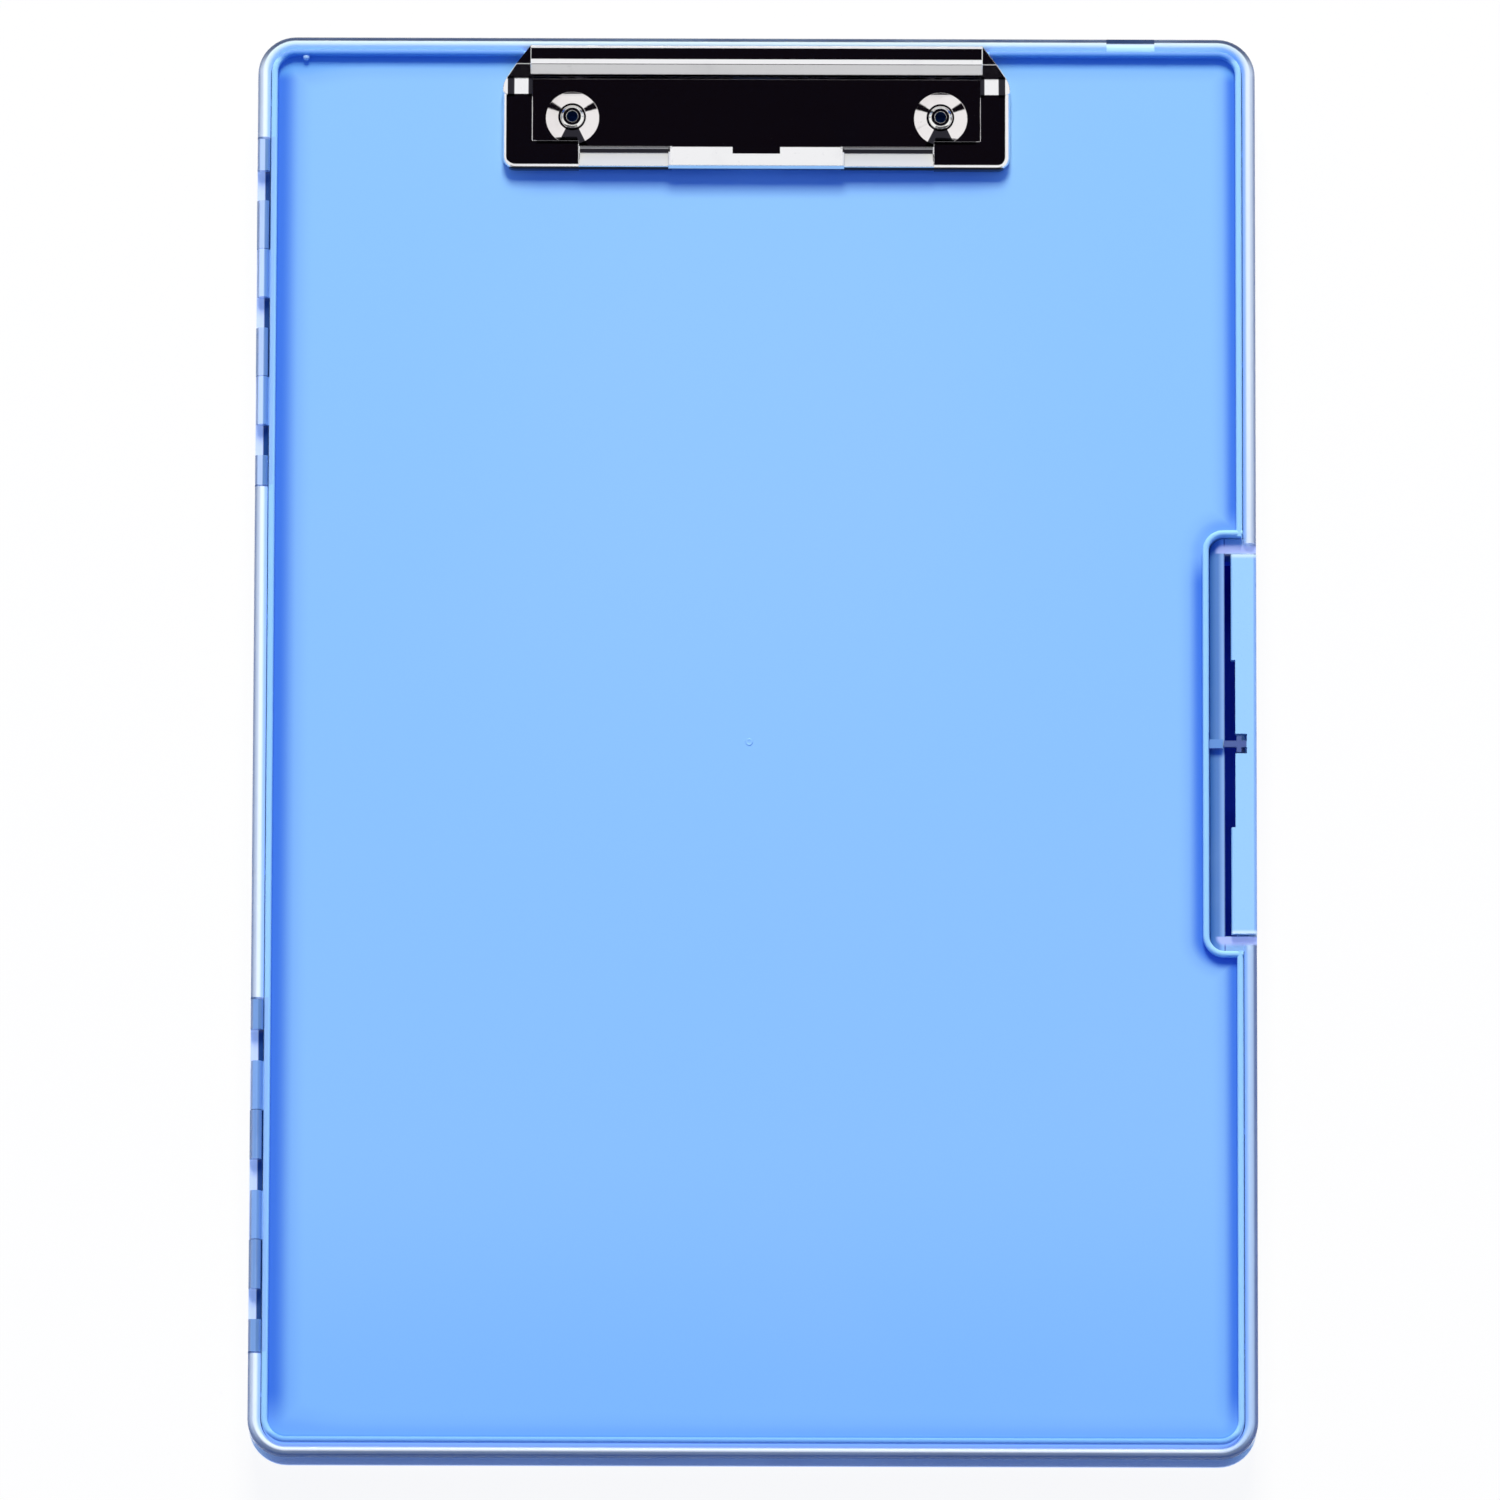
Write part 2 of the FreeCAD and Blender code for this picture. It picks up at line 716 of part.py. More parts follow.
def base_plate_ear():
    """The right ear of the base plate, with its rounded top round the rod."""
    x1 = ridge_half_length - cheek_gap - sheet - ear_gap
    x0 = x1 - sheet
    foot_front = pivot_y - ear_foot_front
    foot_back = clip_back_y - plate_rear_inset
    points = [(foot_front, panel_top), (foot_back, panel_top),
              (pivot_y + ear_radius * math.cos(math.pi / 6), pivot_z - ear_radius * math.sin(math.pi / 6)),
              (pivot_y, pivot_z), (pivot_y - ear_radius * math.cos(math.pi / 6),
                                   pivot_z + ear_radius * math.sin(math.pi / 6))]
    stem = prism_along_x(points, x0, x1)
    return stem.fuse(rod_along_x(x0, x1, pivot_y, pivot_z, ear_radius))


def make_clip_base_plate():
    front = clip_front_y + plate_front_inset
    back = clip_back_y - plate_rear_inset
    plate = box(-plate_half_length, plate_half_length, front, back, panel_top, plate_top)
    lip = box(-plate_lip_half_length, plate_lip_half_length, front - plate_lip_reach, back,
              panel_top, plate_top)
    shapes = [plate, lip]
    cone = Part.makeCone(cone_radius, cone_top_radius, cone_height,
                         Vector(rivet_reach, rivet_y, plate_top), up)
    for shape in (cone, base_plate_ear()):
        shapes += both_ways(shape, along_x)
    base = joined(shapes)
    hollow = Part.makeCone(cone_radius - sheet, cone_top_radius - sheet, cone_height,
                           Vector(rivet_reach, rivet_y, panel_top), up)
    hole = rod_upright(rivet_reach, rivet_y, panel_top - overrun, plate_top + cone_height + overrun,
                       rivet_shank_radius + rivet_hole_clearance)
    rod_hole = rod_along_x(-ridge_half_length, ridge_half_length, pivot_y, pivot_z,
                           rod_radius + running_clearance)
    cuts = both_ways(hollow, along_x) + both_ways(hole, along_x) + [rod_hole]
    return base.cut(cuts).removeSplitter()


def make_pivot_rod():
    end = ridge_half_length - rod_end_inset
    rod = rod_along_x(-end, end, pivot_y, pivot_z, rod_radius)
    return rod.makeChamfer(rod_radius / 3, [edge for edge in rod.Edges if edge.Closed])


def make_spring(side):
    """A torsion spring wound round the rod inside the ridge."""
    wire_radius = spring_wire / 2
    coil_radius = rod_radius + spring_rod_clearance + wire_radius
    length = spring_turns * spring_pitch
    start_x = side * spring_middle - length / 2
    coil = Part.makeHelix(spring_pitch, length, coil_radius)
    profile = Part.makeCircle(wire_radius, Vector(coil_radius, 0, 0), along_y)
    solid = Part.Wire(coil).makePipeShell([Part.Wire(profile)], True, True)
    solid.rotate(origin, along_y, 90)
    solid.translate(Vector(start_x, pivot_y, pivot_z))
    return solid


def make_rivet(side):
    """A hollow rivet: domed head, shank through the lid and a foot rolled over the washer."""
    head_low = plate_top + cone_height
    head_top = head_low + rivet_head_height
    foot_top = panel_bottom - washer_thickness
    foot_low = foot_top - rivet_foot_height
    head = Part.makeCone(rivet_head_radius, rivet_crown_radius, rivet_head_height,
                         Vector(side * rivet_reach, rivet_y, head_low), up)
    shank = rod_upright(side * rivet_reach, rivet_y, foot_low, head_low, rivet_shank_radius)
    foot = rod_upright(side * rivet_reach, rivet_y, foot_low, foot_top, rivet_foot_radius)
    bore = rod_upright(side * rivet_reach, rivet_y, foot_low - overrun, head_top + overrun, rivet_bore_radius)
    body = joined([head, shank, foot])
    crown = [edge for edge in body.Edges
             if edge.Closed and abs(edge.CenterOfMass.z - head_top) < rivet_head_height / 2]
    body = body.makeFillet(rivet_head_height / 2, crown)
    return body.cut(bore)


def make_washer(side):
    low = panel_bottom - washer_thickness
    disc = rod_upright(side * rivet_reach, rivet_y, low, panel_bottom, washer_radius)
    hole = rod_upright(side * rivet_reach, rivet_y, low - overrun, panel_bottom + overrun,
                       rivet_shank_radius + rivet_hole_clearance)
    return disc.cut(hole)


pieces = {
    "base_tray": make_base_tray(),
    "lid_panel": make_lid_panel(),
    "side_latch": make_side_latch(),
    "clip_base_plate": make_clip_base_plate(),
    "clip_jaw": make_clip_jaw(),
    "clip_pivot_rod": make_pivot_rod(),
}
for side, place in ((-1, "left"), (1, "right")):
    pieces["clip_spring_" + place] = make_spring(side)
    pieces["rivet_" + place] = make_rivet(side)
    pieces["rivet_washer_" + place] = make_washer(side)

for name, shape in pieces.items():
    solids = shape.Solids
    print(name, shape.isValid(), len(solids), round(shape.Volume, 1), shape.BoundBox)
    shape.exportStep("parts/" + name + ".step")
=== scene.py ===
import bpy
import math

from mathutils import Matrix, Vector


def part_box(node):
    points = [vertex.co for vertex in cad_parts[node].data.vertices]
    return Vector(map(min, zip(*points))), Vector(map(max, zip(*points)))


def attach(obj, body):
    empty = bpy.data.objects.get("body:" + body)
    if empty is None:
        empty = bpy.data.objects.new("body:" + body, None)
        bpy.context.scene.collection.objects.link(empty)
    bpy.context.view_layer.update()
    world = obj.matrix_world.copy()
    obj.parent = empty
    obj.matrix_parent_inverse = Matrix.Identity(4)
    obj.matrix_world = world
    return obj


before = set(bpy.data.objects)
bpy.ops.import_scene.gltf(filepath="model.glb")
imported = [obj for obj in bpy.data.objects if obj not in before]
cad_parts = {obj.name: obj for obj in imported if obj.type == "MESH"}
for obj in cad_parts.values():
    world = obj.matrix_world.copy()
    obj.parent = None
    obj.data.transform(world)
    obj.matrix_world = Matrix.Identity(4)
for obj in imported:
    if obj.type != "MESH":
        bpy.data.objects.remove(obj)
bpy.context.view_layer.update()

# The storage clipboard box and its studio, in metres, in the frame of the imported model.

mm = 0.001
scene = bpy.context.scene
scene.view_settings.view_transform = "Standard"

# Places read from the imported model
lid_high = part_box("lid_panel")[1]
tray_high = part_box("base_tray")[1]
latch_low, latch_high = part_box("side_latch")

# Sizes of the mouldings that the finishes follow
bead_height = 2.0 * mm
bead_width = 1.5 * mm
rim_width = 3.0 * mm
corner_radius = 9.0 * mm
lid_gap = 0.25 * mm
lid_half_width = tray_high.x - rim_width - lid_gap
lid_half_length = tray_high.y - rim_width - lid_gap
lid_radius = corner_radius - rim_width - lid_gap
inside_x = lid_half_width - bead_width
inside_y = lid_half_length - bead_width
panel_top = lid_high.z - bead_height
hinge_near = 61.25 * mm
hinge_far = 145.05 * mm
tongue_half_width = 2.5 * mm

# Sizes of the latch and of the pocket beside it
pocket_x = tray_high.x - 11.2 * mm
pocket_half_width = 0.5 * lid_half_width
pocket_half_length = 49.5 * mm
pocket_radius = 3.5 * mm
ledge_width = 3.5 * mm
ledge_x = pocket_x + lid_gap
ledge_right = ledge_x + ledge_width
ledge_underside = 12.5 * mm
slot_half_length = 47.0 * mm
recess_end_near = 45.8 * mm
recess_end_far = 49.2 * mm
latch_head_x = tray_high.x - 6.0 * mm
latch_notch_back = latch_head_x + 3.7 * mm
latch_half_length = 44.6 * mm
finger_half_width = 2.2 * mm

# Sizes of the clip that its finishes follow
clip_front = 137.35 * mm
clip_back = 166.65 * mm
clip_half_cover = 56.0 * mm
ridge_half_length = 53.3 * mm
groove_near = 20.4 * mm
groove_far = 41.8 * mm
rivet_x = 43.6 * mm
rivet_y = clip_back - 16.6 * mm

# Small marks of the moulding
scar_place = Vector((-1.3 * mm, 0.2 * mm, panel_top))
scar_radius = 0.9 * mm
scar_height = 0.12 * mm
scar_dip = 0.04 * mm
nib_x = -106.7 * mm
nib_radius = 0.85 * mm

# Camera: nearly straight above, leaning a little towards the foot of the board
camera_distance = 3.87
camera_tilt = math.radians(10)
camera_roll = math.radians(0.16)
frame_width = 353.3 * mm
aim = Vector((-1.1 * mm, -1.0 * mm, 12 * mm))
sensor_width_mm = 36.0

# Light from all round and light of the lamps, as shares of full light
fill_light = (0.11, 0.22, 0.58)
lamp_light = (0.90, 0.79, 0.50)
lamp_distance = 5.0

# How strongly plastic bends light, and the painted glow, emission in place of light, that its clear parts
# get
plastic_ior = 1.49
no_glow = (0.0, 0.0, 0.0, 1.0)
glow_colour_painted_on_hinge = (0.10, 0.12, 0.14, 1.0)

camera_data = bpy.data.cameras.new("camera")
camera_data.sensor_width = sensor_width_mm
camera_data.lens = sensor_width_mm * camera_distance / frame_width
camera = bpy.data.objects.new("camera", camera_data)
scene.collection.objects.link(camera)
turn = Matrix.Rotation(camera_tilt, 4, "X")
place = aim + turn.to_3x3() @ Vector((0, 0, camera_distance))
camera.matrix_world = Matrix.Translation(place) @ turn @ Matrix.Rotation(camera_roll, 4, "Z")
scene.camera = camera


def from_screen(red, green, blue):
    """A colour as a screen shows it, 0 to 255, as the light values that shaders use."""
    levels = []
    for level in (red, green, blue):
        part = level / 255
        levels.append(part / 12.92 if part <= 0.04045 else ((part + 0.055) / 1.055) ** 2.4)
    return (*levels, 1.0)


class Number:
    """A value that changes over a surface. Sums and products on it add Math nodes."""

    def __init__(self, nodes, socket):
        self.nodes = nodes
        self.socket = socket

    def math(self, operation, first, second=None):
        values = {0: first}
        if second is not None:
            values[1] = second
        node = self.nodes.node("Math", {"operation": operation}, values)
        return Number(self.nodes, node.outputs[0])

    def __add__(self, other):
        return self.math("ADD", self, other)

    def __radd__(self, other):
        return self.math("ADD", other, self)

    def __sub__(self, other):
        return self.math("SUBTRACT", self, other)

    def __rsub__(self, other):
        return self.math("SUBTRACT", other, self)

    def __mul__(self, other):
        return self.math("MULTIPLY", self, other)

    def __rmul__(self, other):
        return self.math("MULTIPLY", other, self)

    def __neg__(self):
        return self.math("MULTIPLY", self, -1.0)

    def __pow__(self, power):
        return self.math("POWER", self, power)

    def __abs__(self):
        return self.math("ABSOLUTE", self)

    def at_least(self, other):
        return self.math("MAXIMUM", self, other)

    def at_most(self, other):
        return self.math("MINIMUM", self, other)

    def rise(self, start, end):
        """0 up to start, 1 past end, and smooth between them."""
        node = self.nodes.node("MapRange", {"interpolation_type": "SMOOTHSTEP"},
                               {"Value": self, "From Min": start, "From Max": end})
        return Number(self.nodes, node.outputs[0])

    def fall(self, start, end):
        """1 up to start, 0 past end, and smooth between them."""
        return 1 - self.rise(start, end)

    def above(self, edge, soft):
        """0 below the edge and 1 above it, with a change that is that wide."""
        return self.rise(edge - soft / 2, edge + soft / 2)

    def below(self, edge, soft):
        """1 below the edge and 0 above it, with a change that is that wide."""
        return self.fall(edge - soft / 2, edge + soft / 2)

    def within(self, start, end, soft):
        """1 between start and end and 0 outside them, with changes that are that wide."""
        return self.above(start, soft) * self.below(end, soft)


class Nodes:
    """A node tree that is filled from an empty start."""

    def __init__(self, tree):
        self.tree = tree
        self.tree.nodes.clear()

    def node(self, kind, settings=None, values=None):
        made = self.tree.nodes.new("ShaderNode" + kind)
        for key, value in (settings or {}).items():
            setattr(made, key, value)
        for key, value in (values or {}).items():
            self.feed(made.inputs[key], value)
        return made

    def feed(self, socket, value):
        if isinstance(value, Number):
            self.tree.links.new(value.socket, socket)
        elif isinstance(value, bpy.types.NodeSocket):
            self.tree.links.new(value, socket)
        else:
            socket.default_value = value

    def numbers(self, vector):
        parts = self.node("SeparateXYZ", {}, {0: vector}).outputs
        return [Number(self, part) for part in parts]

    def mix(self, share, first, second):
        """The first colour where the share is 0, the second where it is 1."""
        made = self.node("Mix", {"data_type": "RGBA"}, {0: share, 6: first, 7: second})
        return made.outputs[2]

    def run(self, number, stops):
        """A colour that runs through (place, colour) stops and keeps the last one past its place."""
        colour = stops[0][1]
        for (start, _), (end, after) in zip(stops, stops[1:]):
            colour = self.mix(number.rise(start, end), colour, after)
        return colour

    def rays(self, *kinds):
        """1 for rays of any of the kinds, 0 for the others."""
        outputs = self.node("LightPath").outputs
        any_kind = Number(self, outputs[kinds[0]])
        for kind in kinds[1:]:
            any_kind = any_kind.at_least(Number(self, outputs[kind]))
        return any_kind


class Finish(Nodes):
    """A material made of nodes. Its coordinates stay with the piece when a joint moves."""

    def __init__(self, name):
        self.material = bpy.data.materials.new(name)
        self.material.use_nodes = True
        super().__init__(self.material.node_tree)
        self.place = self.node("TexCoord").outputs["Object"]
        self.x, self.y, self.z = self.numbers(self.place)

    def stretched(self, scales):
        made = self.node("Mapping", {}, {"Vector": self.place, "Scale": scales})
        return made.outputs[0]

    def noise(self, grain_size, detail=3.0, place=None):
        values = {"Vector": place or self.place, "Scale": 1 / grain_size, "Detail": detail}
        return Number(self, self.node("TexNoise", {}, values).outputs[0])

    def bump(self, height, depth, strength=1.0, edge_radius=0.0):
        """Fine relief, over edges that look rounded by a radius."""
        values = {"Height": height, "Distance": depth, "Strength": strength}
        if edge_radius:
            bevel = self.node("Bevel", {"samples": 6}, {"Radius": edge_radius})
            values["Normal"] = bevel.outputs[0]
        return self.node("Bump", {}, values).outputs[0]

    def past_rectangle(self, middle_x, half_x, half_y, radius):
        """How far a point lies outside a rounded rectangle, below 0 inside it."""
        across = abs(self.x - middle_x) - (half_x - radius)
        along = abs(self.y) - (half_y - radius)
        corner = (across.at_least(0) ** 2.0 + along.at_least(0) ** 2.0) ** 0.5
        return corner + across.at_least(along).at_most(0) - radius

    def surface(self, **values):
        """The finished material, from the shader's inputs with their names in lower case."""
        named = {}
        for key, value in values.items():
            named[key.replace("_", " ").title().replace("Ior", "IOR")] = value
        shader = self.node("BsdfPrincipled", {}, named)
        self.node("OutputMaterial", {}, {"Surface": shader.outputs[0]})
        return self.material


def scuffs(finish, length, width, along_x):
    """Fine hairline scuffs along X or Y, 0 where there are none and up to 1 in them."""
    scales = (width / length, 1.0, 1.0) if along_x else (1.0, width / length, 1.0)
    lines = finish.noise(width, 2.0, finish.stretched(scales))
    patches = finish.noise(length, 2.0)
    return lines.rise(0.62, 0.78) * patches.rise(0.5, 0.7)


def hinge_highlight_and_shade(finish, elsewhere):
    """Painted highlight and shade across the hinge, from a slate outer line over a pale band to a
    steel-blue stripe.
    """
    # The slate line and the steel-blue stripe are painted shade, and the pale band is a painted
    # highlight, darker in the south half
    slate = from_screen(136, 158, 196)
    pale = finish.mix(finish.y.rise(-mm, mm), from_screen(124, 168, 230), from_screen(180, 206, 250))
    steel_blue = from_screen(106, 148, 206)
    light_blue = from_screen(148, 196, 252)
    across = finish.run(finish.x + tray_high.x, [(0.4 * mm, slate),
                                                 (0.8 * mm, pale),
                                                 (1.6 * mm, pale),
                                                 (2.0 * mm, steel_blue),
                                                 (2.9 * mm, steel_blue),
                                                 (3.3 * mm, light_blue)])
    along_hinge = abs(finish.y).within(hinge_near, hinge_far, 0.4 * mm)
    return finish.mix(along_hinge, elsewhere, across)


def glow_painted_on_hinge(finish):
    """Where a glow is painted on the hinge: the pale band on its knuckles, strongest in the upper hinge.
    """
    pale_band = (finish.x + tray_high.x).within(0.6 * mm, 1.8 * mm, 0.3 * mm)
    on_top = finish.z.rise(panel_top - 1.5 * mm, panel_top - 0.8 * mm)
    share = finish.y.rise(-mm, mm) * 0.8 + 0.2
    along_hinge = abs(finish.y).within(hinge_near, hinge_far, 0.4 * mm)
    return pale_band * on_top * share * along_hinge


def board_tint(finish):
    """Sky blue with faint clouds, a touch paler in the middle and deeper towards the foot."""
    middle = finish.x.within(-60 * mm, 60 * mm, 90 * mm) * finish.y.within(0, 150 * mm, 120 * mm)
    foot = finish.y.fall(-lid_half_length, -0.55 * lid_half_length)
    cloud = finish.noise(70 * mm, 2.0).rise(0.45, 0.75)
    tint = finish.mix(middle, from_screen(140, 196, 255), from_screen(144, 198, 255))
    tint = finish.mix(foot, tint, from_screen(128, 188, 255))
    return finish.mix(cloud * 0.1, tint, from_screen(150, 195, 250))


def inside_bead(finish):
    """How far a point of the lid lies inside the bead, which also runs round the latch's pocket."""
    past_board = finish.past_rectangle(0.0, inside_x, inside_y, lid_radius - bead_width)
    past_pocket = finish.past_rectangle(pocket_x - bead_width + pocket_half_width, pocket_half_width,
                                        pocket_half_length + bead_width, pocket_radius + bead_width)
    return past_pocket.at_most(-past_board)


def painted_shade_band(finish, inwards):
    """How much painted shade deepens the blue beside the bead: wider on the left, less at the pocket's
    corners.
    """
    at_left = finish.x.fall(-inside_x, -0.8 * inside_x)
    depth = inwards * (0.8 - at_left * 0.33)
    near = depth.fall(0.5 * mm, 2.8 * mm)
    far = depth.fall(1.0 * mm, 5.0 * mm)
    off_foot = finish.y.rise(-inside_y, -0.93 * inside_y)
    by_corner = finish.x.rise(pocket_x - 14 * mm, pocket_x - 6 * mm)
    by_corner = by_corner * finish.y.within(42 * mm, 53 * mm, 8 * mm)
    return (near * 0.58 + far * 0.28) * (off_foot * 0.7 + 0.3) * (1 - by_corner * 0.6)


def lid_finish():
    """Sky-blue moulded board: satin with a fine grain, and painted shade that deepens it beside the
    bead's foot.
    """
    finish = Finish("sky_blue_board")
    inwards = inside_bead(finish)
    on_panel = inwards.rise(-0.2 * mm, 0.0) * finish.z.fall(panel_top + 0.1 * mm, panel_top + 0.4 * mm)
    behind_clip = abs(finish.x).below(clip_half_cover, 0.2 * mm)
    behind_clip = behind_clip * finish.y.rise(inside_y - 3 * mm, inside_y)
    # Painted shade beside the bead, in a lighter colour at the head
    at_head = finish.y.rise(inside_y - 6 * mm, inside_y - 3 * mm)
    deep = finish.mix(at_head, from_screen(40, 104, 224), from_screen(84, 154, 236))
    bead_side_shade = painted_shade_band(finish, inwards) * on_panel * (1 - behind_clip)
    base = finish.mix(bead_side_shade, board_tint(finish), deep)

    # Painted shade: a line along the bead at the foot, and the wide end of the clip's shadow
    foot_shade_line = inwards.fall(0.3 * mm, 0.7 * mm) * finish.y.fall(-inside_y, -0.98 * inside_y)
    base = finish.mix(foot_shade_line * on_panel * 0.9, base, from_screen(93, 155, 227))
    painted_clip_shadow = abs(finish.x).fall(50 * mm, 61 * mm) * finish.y.fall(clip_front, clip_front + mm)
    painted_clip_shadow = painted_clip_shadow * finish.y.rise(clip_front - 7 * mm, clip_front - 2 * mm)
    base = finish.mix(painted_clip_shadow * 0.4, base, from_screen(70, 124, 232))

    # The bead, painted lighter as a highlight, with painted shade deeper at the head and on its inner
    # slope at the head, and deeper at the foot
    on_bead = finish.z.rise(panel_top + 0.7 * mm, panel_top + 1.7 * mm)
    head_bead = finish.y.rise(inside_y - bead_width, inside_y)
    foot_bead = (-finish.y).rise(inside_y - bead_width, inside_y)
    bead = finish.mix(head_bead, from_screen(156, 212, 255), from_screen(104, 152, 234))
    bead = finish.mix(foot_bead, bead, from_screen(120, 178, 246))
    base = finish.mix(on_bead, base, bead)
    slope_shade_at_head = head_bead * inwards.rise(-0.8 * mm, -0.4 * mm)
    base = finish.mix(slope_shade_at_head * (1 - behind_clip), base, deep)

    # The catch tongue, painted deeper blue as shade, and the knuckles, with painted highlight and shade
    tongue = finish.x.rise(pocket_x - 0.3 * mm, pocket_x) * abs(finish.y).below(tongue_half_width, mm)
    base = finish.mix(tongue, base, from_screen(104, 150, 216))
    knuckles = finish.x.below(-lid_half_width + mm, 0.2 * mm)
    base = finish.mix(knuckles, base, hinge_highlight_and_shade(finish, base))

    # Painted glow, emission in place of light, along the lid's outer edge and on the hinge
    outer_edge = finish.past_rectangle(0.0, lid_half_width, lid_half_length, lid_radius)
    outer_edge = outer_edge.within(-0.25 * mm, 0.1 * mm, 0.1 * mm) * (1 - on_bead)
    light = finish.mix(outer_edge, no_glow, (0.16, 0.27, 0.42, 1.0))
    light = finish.mix(glow_painted_on_hinge(finish), light, glow_colour_painted_on_hinge)
    grain = finish.noise(0.35 * mm, 4.0)
    wear = scuffs(finish, 30 * mm, 0.25 * mm, along_x=True)
    roughness = 0.34 + grain * 0.12 - wear * 0.12
    height = grain * 0.6 + finish.noise(18 * mm, 2.0) * 0.4
    return finish.surface(base_color=base, roughness=roughness, ior=plastic_ior,
                          emission_color=light, emission_strength=1.0,
                          normal=finish.bump(height, 0.02 * mm, 0.6))


def rim_highlight_and_shade(finish, inwards, on_right, at_foot):
    """Painted highlight and shade that run inwards from the rim's outer edge, in their own way on each
    side: a dark edge line, a pale highlight band, then blue.
    """
    left = finish.run(inwards, [(0.2 * mm, from_screen(142, 158, 186)),
                                (0.9 * mm, from_screen(206, 222, 242)),
                                (1.5 * mm, from_screen(236, 246, 255)),
                                (2.0 * mm, from_screen(230, 242, 255)),
                                (2.6 * mm, from_screen(160, 196, 240))])
    right = finish.run(inwards, [(0.65 * mm, from_screen(88, 114, 166)),
                                 (1.1 * mm, from_screen(170, 200, 238)),
                                 (2.0 * mm, from_screen(178, 210, 246)),
                                 (2.8 * mm, from_screen(150, 194, 245))])
    head = finish.run(inwards, [(0.95 * mm, from_screen(48, 66, 104)),
                                (1.3 * mm, from_screen(222, 243, 255)),
                                (1.7 * mm, from_screen(211, 240, 255)),
                                (2.3 * mm, from_screen(158, 208, 250)),
                                (3.0 * mm, from_screen(118, 176, 243))])
    # Painted shade on the rim's outer edge at the foot
    foot_rim_shade = from_screen(126, 146, 172)
    lower_right = on_right * finish.y.fall(-40 * mm, 80 * mm)
    at_head = finish.y.rise(tray_high.y - corner_radius, tray_high.y - 2 * mm)
    rim = finish.mix(lower_right * 0.9, left, right)
    rim = finish.mix(at_head, rim, head)
    return finish.mix(at_foot * inwards.fall(1.2 * mm, 1.6 * mm), rim, foot_rim_shade)


def wall_light_and_shade(finish, inwards):
    """Walls painted pale at the foot and with painted shade that deepens upwards. The side walls are
    painted paler, and the inside is light blue.
    """
    outside = finish.run(finish.z, [(1.2 * mm, from_screen(214, 228, 248)),
                                    (3.8 * mm, from_screen(78, 116, 172))])
    at_side = abs(finish.x).rise(tray_high.x - 8 * mm, tray_high.x - 2 * mm)
    outside = finish.mix(at_side * 0.8, outside, from_screen(166, 214, 238))
    return finish.mix(inwards.rise(0.8 * mm, 1.2 * mm), outside, from_screen(140, 196, 250))


def ledge_painted_shade(finish):
    """Painted shade across the ledge beside the latch, from the lid's edge, where the bead shades it, to
    a dark line at the slot.
    """
    return finish.run(finish.x, [(ledge_x, from_screen(62, 116, 190)),
                                 (ledge_x + 0.5 * ledge_width, from_screen(102, 150, 220)),
                                 (ledge_x + 0.9 * ledge_width, from_screen(156, 200, 255)),
                                 (ledge_right, from_screen(84, 110, 180))])


